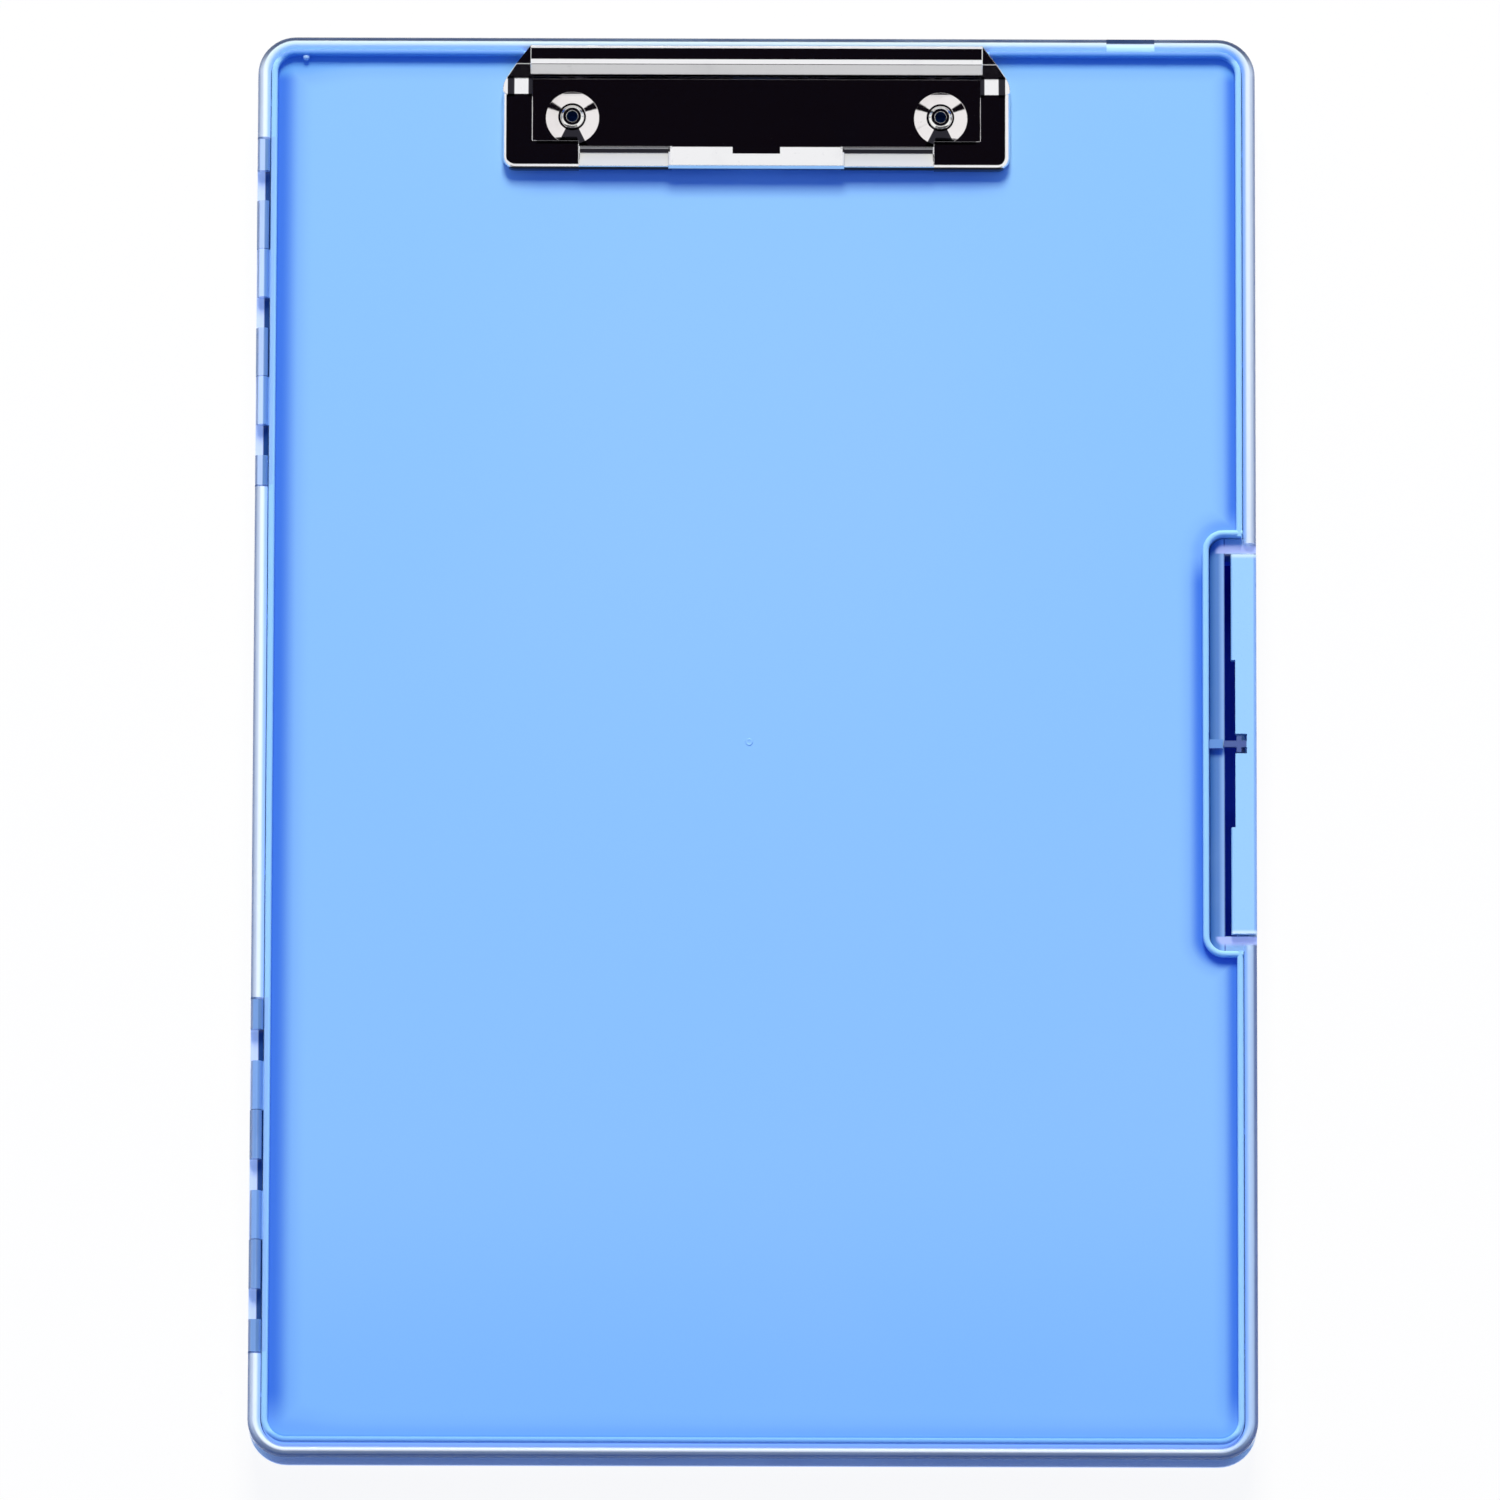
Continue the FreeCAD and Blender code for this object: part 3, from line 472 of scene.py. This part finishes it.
def tray_finish():
    """Clear, light-blue moulded tray, with painted light and shade: slate at its outer edge, bright in
    its rim, deeper in its walls.
    """
    finish = Finish("clear_blue_tray")
    inwards = -finish.past_rectangle(0.0, tray_high.x, tray_high.y, corner_radius)
    at_foot = finish.y.fall(-tray_high.y + 2 * mm, -tray_high.y + corner_radius)
    on_right = finish.x.rise(0.9 * tray_high.x, 0.97 * tray_high.x)
    high = finish.z.rise(panel_top - 2.5 * mm, panel_top - 0.8 * mm)
    rim = rim_highlight_and_shade(finish, inwards, on_right, at_foot)
    base = finish.mix(high, wall_light_and_shade(finish, inwards), rim)

    # Painted glow, emission in place of light, in its rim, in the foot of its walls and under the slot by
    # the latch
    in_rim = inwards.rise(0.9 * mm + at_foot * 0.6 * mm, 1.6 * mm + at_foot * 0.3 * mm)
    in_rim = in_rim * inwards.fall(rim_width, rim_width + 0.2 * mm)
    near_hinge = abs(finish.y).within(hinge_near, hinge_far, mm)
    near_hinge = near_hinge * finish.x.fall(-0.5 * tray_high.x, 0.0)
    rim_light = in_rim * high * (1 - on_right * 0.6) * (1 - near_hinge)
    light = finish.mix(rim_light, no_glow, (0.15, 0.19, 0.25, 1.0))
    light = finish.mix(glow_painted_on_hinge(finish), light, glow_colour_painted_on_hinge)
    wall_foot = finish.z.fall(1.2 * mm, 3.4 * mm) * inwards.fall(0.4 * mm, 0.6 * mm)
    light = finish.mix(wall_foot, light, (0.30, 0.36, 0.46, 1.0))
    under_slot = finish.x.within(pocket_x, tray_high.x - rim_width, mm)
    under_slot = under_slot * abs(finish.y).below(slot_half_length, mm) * finish.z.fall(4 * mm, 6 * mm)
    light = finish.mix(under_slot, light, (0.0, 0.002, 0.085, 1.0))

    # The knuckles, with painted highlight and shade, and the floor of the windows between them, whose
    # outer half is painted pale with a painted glow and inner half navy as painted shade
    in_hinge = finish.x.fall(-tray_high.x + rim_width, -tray_high.x + rim_width + 0.2 * mm)
    base = finish.mix(in_hinge * high, base, hinge_highlight_and_shade(finish, base))
    window_floor = in_hinge * finish.z.within(panel_top - 2.4 * mm, panel_top - 1.6 * mm, 0.2 * mm)
    pale_half = (finish.x + tray_high.x).fall(1.6 * mm, 2.0 * mm)
    window = finish.mix(pale_half, from_screen(34, 70, 132), from_screen(190, 206, 250))
    base = finish.mix(window_floor, base, window)
    light = finish.mix(window_floor * pale_half, light, (0.13, 0.17, 0.20, 1.0))

    # The ledge beside the latch with its painted shade, and the ends of its recess, painted bright with a
    # painted glow
    raised = finish.z.above(ledge_underside, mm)
    on_ledge = finish.x.rise(ledge_x - 0.2 * mm, ledge_x)
    on_ledge = on_ledge * finish.x.fall(ledge_right, ledge_right + 0.2 * mm)
    on_ledge = on_ledge * abs(finish.y).below(pocket_half_length, mm) * raised
    base = finish.mix(on_ledge, base, ledge_painted_shade(finish))
    in_pocket = -finish.past_rectangle(pocket_x + pocket_half_width, pocket_half_width,
                                       pocket_half_length, pocket_radius)
    recess_glow_at_ends = in_pocket.rise(1.2 * mm, 2.4 * mm) * finish.x.rise(ledge_x, ledge_x + mm) * raised
    recess_glow_at_ends = recess_glow_at_ends * abs(finish.y).within(recess_end_near, recess_end_far, 0.5 * mm)
    base = finish.mix(recess_glow_at_ends, base, from_screen(150, 168, 240))
    light = finish.mix(recess_glow_at_ends, light, (0.20, 0.23, 0.28, 1.0))

    flow = finish.noise(25 * mm, 3.0)
    wear = scuffs(finish, 22 * mm, 0.3 * mm, along_x=False)
    base = finish.mix(flow.rise(0.4, 0.8) * 0.12, base, from_screen(180, 210, 246))
    roughness = 0.04 + flow * 0.04 + wear * 0.2
    height = flow * 0.3 + finish.noise(6 * mm, 2.0) * 0.1
    return finish.surface(base_color=base, roughness=roughness, ior=plastic_ior, transmission_weight=0.2,
                          emission_color=light, emission_strength=1.0,
                          normal=finish.bump(height, 0.02 * mm, 0.2))


def latch_finish():
    """Pale blue moulded flap, a little glossier than the board, with painted shade: deeper blue low down
    and in its catch finger.
    """
    finish = Finish("pale_blue_latch")
    pale = from_screen(162, 214, 255)
    deeper = from_screen(120, 176, 240)
    grain = finish.noise(0.4 * mm, 3.0)
    wear = scuffs(finish, 12 * mm, 0.2 * mm, along_x=False)
    low = finish.z.fall(latch_low.z, latch_high.z)
    finger = abs(finish.y).below(finger_half_width, 0.2 * mm)
    finger = finger * finish.x.fall(latch_notch_back - 0.2 * mm, latch_notch_back)
    outer_edge = finish.x.rise(tray_high.x - 0.9 * mm, tray_high.x - 0.5 * mm)
    ends = abs(finish.y).above(latch_half_length, 0.8 * mm)
    # Painted shade, deeper blue low down; the grain adds a random deeper tone
    base = finish.mix(low * 0.6, pale, deeper)
    base = finish.mix(grain * 0.12, base, deeper)
    # Painted shade in the catch finger and along the outer edge, and a painted highlight at the ends
    base = finish.mix(finger, base, from_screen(84, 102, 160))
    base = finish.mix(outer_edge, base, from_screen(136, 182, 244))
    base = finish.mix(ends * 0.8, base, from_screen(220, 246, 255))
    return finish.surface(base_color=base, roughness=0.24 + grain * 0.1 + wear * 0.15, ior=plastic_ior,
                          normal=finish.bump(grain, 0.01 * mm, 0.5))


def jaw_painted_reflections(finish):
    """Where the jaw gets a painted dark reflection and shade, and where the groove of its front bar gets
    a painted white reflection.
    """
    from_middle = abs(finish.x)
    from_front = finish.y - clip_front
    beside_tab = from_middle.within(groove_near, groove_far, 0.2 * mm)

    # Painted dark reflection round the rear corners, and painted shade below the ridge
    saddle = finish.y.within(clip_back - 12 * mm, clip_back - 6.9 * mm, 0.4 * mm)
    saddle = saddle * from_middle.within(52.95 * mm, 58.9 * mm, 0.1 * mm)
    dished = from_middle.within(54.0 * mm, 57.3 * mm, 0.3 * mm)
    under_ridge = finish.y.rise(clip_back - 9 * mm, clip_back - 8 * mm)
    under_ridge = under_ridge * from_middle.below(ridge_half_length, 0.2 * mm)
    under_ridge = under_ridge * finish.z.fall(panel_top + 3.5 * mm, panel_top + 3.6 * mm)

    # Painted dark reflection and shade along the front bar and the arms, and a painted white reflection
    # in the groove
    front_foot = from_front.fall(0.4 * mm, 0.5 * mm)
    front_foot = front_foot * finish.z.fall(panel_top + 3.0 * mm, panel_top + 3.3 * mm)
    rear_slope = beside_tab * from_front.within(4.2 * mm, 5.1 * mm, 0.2 * mm)
    rear_edge = beside_tab * from_front.within(5.1 * mm, 6.0 * mm, 0.2 * mm)
    arm_edge = from_middle.within(41.5 * mm, 52 * mm, 0.4 * mm)
    arm_edge = arm_edge * from_front.within(5.9 * mm, 7.3 * mm, 0.3 * mm)
    groove = beside_tab * from_front.within(0.7 * mm, 4.2 * mm, 0.2 * mm)

    dark = (saddle * (1 - dished)).at_least(under_ridge).at_least(front_foot).at_least(rear_slope)
    dark = dark.at_least(rear_edge * 0.75).at_least(arm_edge * 0.8)
    return dark, groove * (1 - dark)


def plate_painted_reflection(finish):
    """A painted dark reflection, shaped like a notch, at the foot of each rivet's cone."""
    across = abs(abs(finish.x) - rivet_x)
    down = rivet_y - finish.y
    notch = (down * 0.55 - across).above(0.0, 0.2 * mm)
    return notch * down.within(2.5 * mm, 8 * mm, 0.3 * mm), 0.0


def no_painted_reflections(finish):
    return 0.0, 0.0


def metal_finish(name, colours, roughness, brushing, edge_radius, marks=no_painted_reflections):
    """Plated or drawn metal: faint lines along the sheet, small pits and a few duller patches.

    The colours are the bright and the dull one, brushing is the width and length of the lines,
    and marks gives the shares of painted dark reflection and shade and of painted white reflection.
    """
    colour, dull_colour = colours
    line_width, line_length = brushing
    finish = Finish(name)
    lines = finish.noise(line_width, 3.0, finish.stretched((line_width / line_length, 1.0, 1.0)))
    pits = finish.noise(1.2 * mm, 5.0)
    dull = finish.noise(14 * mm, 3.0).rise(0.5, 0.75)
    base = finish.mix(dull * 0.5 + pits.rise(0.66, 0.74) * 0.4, colour, dull_colour)
    dark, white = marks(finish)
    # Painted dark reflection and shade, then a painted white reflection that is not metallic
    base = finish.mix(dark, base, from_screen(44, 43, 50))
    base = finish.mix(white, base, from_screen(184, 190, 204))
    rough = roughness + lines * 0.03 + dull * 0.03
    height = lines * 0.5 + pits * 0.3
    return finish.surface(base_color=base, metallic=1 - white, roughness=rough,
                          normal=finish.bump(height, 0.003 * mm, 0.3, edge_radius))


chrome = metal_finish("bright_chrome", (from_screen(240, 240, 242), from_screen(222, 222, 226)),
                      0.03, (0.15 * mm, 12 * mm), 0.25 * mm, jaw_painted_reflections)
plate_chrome = metal_finish("plate_chrome", (from_screen(236, 232, 232), from_screen(212, 206, 204)),
                            0.04, (0.2 * mm, 18 * mm), 0.2 * mm, plate_painted_reflection)
rod_steel = metal_finish("drawn_steel", (from_screen(200, 200, 202), from_screen(170, 168, 165)),
                         0.14, (0.05 * mm, 6 * mm), 0.1 * mm)
spring_steel = metal_finish("spring_wire", (from_screen(175, 176, 180), from_screen(140, 138, 136)),
                            0.2, (0.05 * mm, 3 * mm), 0.05 * mm)
rivet_nickel = metal_finish("rivet_nickel", (from_screen(238, 238, 236), from_screen(214, 212, 208)),
                            0.05, (0.1 * mm, 2 * mm), 0.2 * mm)

finishes = {
    "base_tray": tray_finish(),
    "lid_panel": lid_finish(),
    "side_latch": latch_finish(),
    "clip_jaw": chrome,
    "clip_base_plate": plate_chrome,
    "clip_pivot_rod": rod_steel,
}
for hand in ("left", "right"):
    finishes["clip_spring_" + hand] = spring_steel
    finishes["rivet_" + hand] = rivet_nickel
    finishes["rivet_washer_" + hand] = rivet_nickel

for node_name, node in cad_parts.items():
    for material_slot in node.material_slots:
        material_slot.material = finishes[node_name]


def nib_finish():
    """Paler plastic of the small nib beside the bead, its paleness a painted highlight."""
    finish = Finish("pale_nib")
    grain = finish.noise(0.3 * mm, 3.0)
    base = finish.mix(grain * 0.3, from_screen(168, 206, 250), from_screen(150, 194, 250))
    return finish.surface(base_color=base, roughness=0.2 + grain * 0.1, ior=plastic_ior,
                          normal=finish.bump(grain, 0.02 * mm, 0.5))


def turned(name, outline, middle, material):
    """A small round piece of the lid from (radius, height) points, turned about an upright line."""
    turns = 24
    points = []
    for radius, height in outline:
        for number in range(turns):
            angle = 2 * math.pi * number / turns
            points.append((middle.x + radius * math.cos(angle), middle.y + radius * math.sin(angle),
                           middle.z + height))
    faces = []
    for ring in range(len(outline) - 1):
        low = ring * turns
        high = low + turns
        for number in range(turns):
            after = (number + 1) % turns
            faces.append((low + number, low + after, high + after, high + number))
    faces.append(tuple(range((len(outline) - 1) * turns, len(outline) * turns)))
    faces.append(tuple(reversed(range(turns))))
    mesh = bpy.data.meshes.new(name)
    mesh.from_pydata(points, [], faces)
    mesh.shade_smooth()
    mesh.materials.append(material)
    piece = bpy.data.objects.new(name, mesh)
    scene.collection.objects.link(piece)
    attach(piece, "lid")


def make_moulding_marks():
    """The round scar in the middle of the board where the plastic was let in, and a nib on the bead."""
    scar = [(scar_radius, 0),
            (scar_radius * 0.9, scar_height * 0.8),
            (scar_radius * 0.8, scar_height),
            (scar_radius * 0.6, scar_height * 0.8),
            (scar_radius * 0.45, scar_dip)]
    nib = [(nib_radius, -0.4 * nib_radius),
           (nib_radius, nib_radius),
           (nib_radius * 0.87, nib_radius * 1.5),
           (nib_radius * 0.5, nib_radius * 1.8),
           (nib_radius * 0.1, nib_radius * 1.9)]
    nib_place = Vector((nib_x, inside_y - 0.3 * nib_radius, panel_top))
    turned("gate_mark", scar, scar_place, finishes["lid_panel"])
    turned("bead_nib", nib, nib_place, nib_finish())


def sheet_object(name, width, length, place):
    """A flat rectangle facing up."""
    half_x = width / 2
    half_y = length / 2
    mesh = bpy.data.meshes.new(name)
    corners = [(-half_x, -half_y, 0), (half_x, -half_y, 0), (half_x, half_y, 0), (-half_x, half_y, 0)]
    mesh.from_pydata(corners, [], [(0, 1, 2, 3)])
    sheet = bpy.data.objects.new(name, mesh)
    sheet.location = place
    scene.collection.objects.link(sheet)
    return sheet


def make_floor():
    """A pale floor that shows white and keeps a light shadow. Under the box it is painted deep blue, a
    painted shadow.
    """
    white_share = 0.92
    floor_size = 8.0
    white = (1, 1, 1, 1)
    painted_shadow_blue = from_screen(20, 44, 170)
    finish = Finish("pale_floor")
    grain = finish.noise(6 * mm, 3.0)
    tone = finish.mix(grain * 0.2, (0.93, 0.94, 0.95, 1), (0.9, 0.91, 0.93, 1))
    past_box = finish.past_rectangle(0.0, tray_high.x, tray_high.y, corner_radius)
    outside = past_box.rise(-3.0 * mm, -2.0 * mm)
    tone = finish.mix(outside, painted_shadow_blue, tone)
    soft = finish.node("BsdfDiffuse", {}, {"Color": tone}).outputs[0]
    glow = finish.node("Emission", {}, {"Color": white, "Strength": 1.0}).outputs[0]
    seen = finish.rays("Is Camera Ray", "Is Transmission Ray")
    both = finish.node("MixShader", {}, {0: seen * outside * white_share, 1: soft, 2: glow})
    finish.node("OutputMaterial", {}, {"Surface": both.outputs[0]})
    floor = sheet_object("floor", floor_size, floor_size, (0, 0, 0))
    floor.data.materials.append(finish.material)


def make_studio():
    """White walls and cards with dark gaps, as metal sees them, and an even fill for soft surfaces."""
    degree = math.radians(1)
    white = (1, 1, 1, 1)
    dark = (0.0045, 0.003, 0.005, 1)
    world = bpy.data.worlds.new("studio")
    world.use_nodes = True
    scene.world = world
    studio = Nodes(world.node_tree)
    x, y, z = studio.numbers(studio.node("TexCoord").outputs["Generated"])
    lean_north = y.math("ARCTAN2", y, z)
    lean_east = x.math("ARCTAN2", x, z)
    from_top = z.math("ARCCOSINE", z)
    azimuth = abs(x.math("ARCTAN2", x, y))

    # A dark opening overhead, and dark gaps on both sides of the head wall
    ceiling = lean_north.within(-8 * degree, 33 * degree, 3 * degree)
    ceiling = ceiling * lean_east.within(-41 * degree, 13 * degree, 4 * degree)
    gaps = azimuth.within(40 * degree, 54 * degree, 3 * degree) * from_top.rise(44 * degree, 47 * degree)

    # Bands in the south that the clip's slopes show, and a faint grey low in the north
    south = azimuth.rise(144 * degree, 148 * degree)
    riser_dark = south * from_top.within(61 * degree, 70.8 * degree, degree)
    slope_pale = south * from_top.within(70.8 * degree, 72.9 * degree, degree)
    bar_grey = south * from_top.within(72.9 * degree, 84 * degree, degree)
    low_north = azimuth.fall(38 * degree, 42 * degree) * from_top.rise(72 * degree, 76 * degree)

    darkness = ceiling.at_least(gaps).at_least(riser_dark)
    darkness = darkness.at_least(slope_pale * 0.32).at_least(bar_grey * 0.75).at_least(low_north * 0.2)
    cards = studio.mix(darkness, white, dark)
    colour = studio.mix(studio.rays("Is Glossy Ray"), (*fill_light, 1), cards)
    colour = studio.mix(studio.rays("Is Camera Ray", "Is Transmission Ray"), colour, white)
    background = studio.node("Background", {}, {"Color": colour, "Strength": 1.0})
    studio.node("OutputWorld", {}, {"Surface": background.outputs[0]})


def lamp(name, azimuth, elevation, size, share):
    """A soft square lamp with that share of the lamps' light. Azimuth 0 is +Y, 90 is +X."""
    around = math.radians(azimuth)
    above = math.radians(elevation)
    level = math.cos(above)
    away = Vector((math.sin(around) * level, math.cos(around) * level, math.sin(above)))
    data = bpy.data.lights.new(name, "AREA")
    data.size = size
    data.color = lamp_light
    data.energy = share * (math.pi * lamp_distance) ** 2 / math.sin(above)
    light = bpy.data.objects.new(name, data)
    light.visible_glossy = False
    facing = away.to_track_quat("Z", "Y").to_matrix().to_4x4()
    light.matrix_world = Matrix.Translation(away * lamp_distance) @ facing
    scene.collection.objects.link(light)


make_moulding_marks()
make_floor()
make_studio()
lamp("head_lamp", azimuth=0, elevation=40, size=1.7, share=1.01)
lamp("left_lamp", azimuth=-80, elevation=38, size=1.5, share=0.03)
